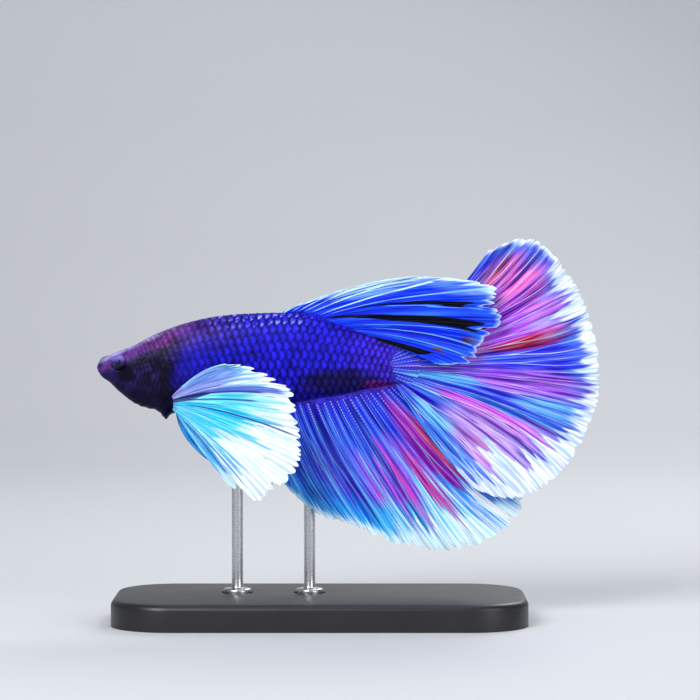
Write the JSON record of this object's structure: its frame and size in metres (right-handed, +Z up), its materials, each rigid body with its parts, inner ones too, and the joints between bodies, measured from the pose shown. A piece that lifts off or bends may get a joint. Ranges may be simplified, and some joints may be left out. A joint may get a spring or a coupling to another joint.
{
  "type": "betta fish",
  "caption": "Still life-size betta fish with a wide fan tail, long dorsal and anal fins and large ear-like pectoral fins, swimming on a flat display base with slim upright rods.",
  "frame": {"origin": "centre of the stand base's underside", "axes": "+Z up, -X the way the fish looks, -Y the fish's left side"},
  "size_m": [0.0753, 0.03, 0.0572],
  "materials": {
    "head_skin": "moist dark skin, near black with a plum top",
    "scaled_skin": "overlapping glossy blue scales",
    "eye": "wet dark eye",
    "blue_fin": "thin rayed membrane, blue and violet with white edges",
    "pale_fin": "thin rayed membrane, pale cyan to white",
    "stand_black": "satin black",
    "rod_metal": "brushed"
  },
  "bodies": {
    "root": {"head": "head_skin", "lower_jaw": "head_skin", "gill_cover_left": "head_skin", "gill_cover_right": "head_skin", "eye_left": "eye", "eye_right": "eye", "trunk": "scaled_skin", "tail_stalk": "scaled_skin", "dorsal_fin": "blue_fin", "tail_fin": "blue_fin", "anal_fin": "blue_fin", "pectoral_fin_left": "pale_fin", "pectoral_fin_right": "pale_fin", "pelvic_fin_left": "pale_fin", "pelvic_fin_right": "blue_fin", "stand_base": "stand_black", "stand_rod_front": "rod_metal", "stand_rod_rear": "rod_metal"}
  },
  "joints": []
}
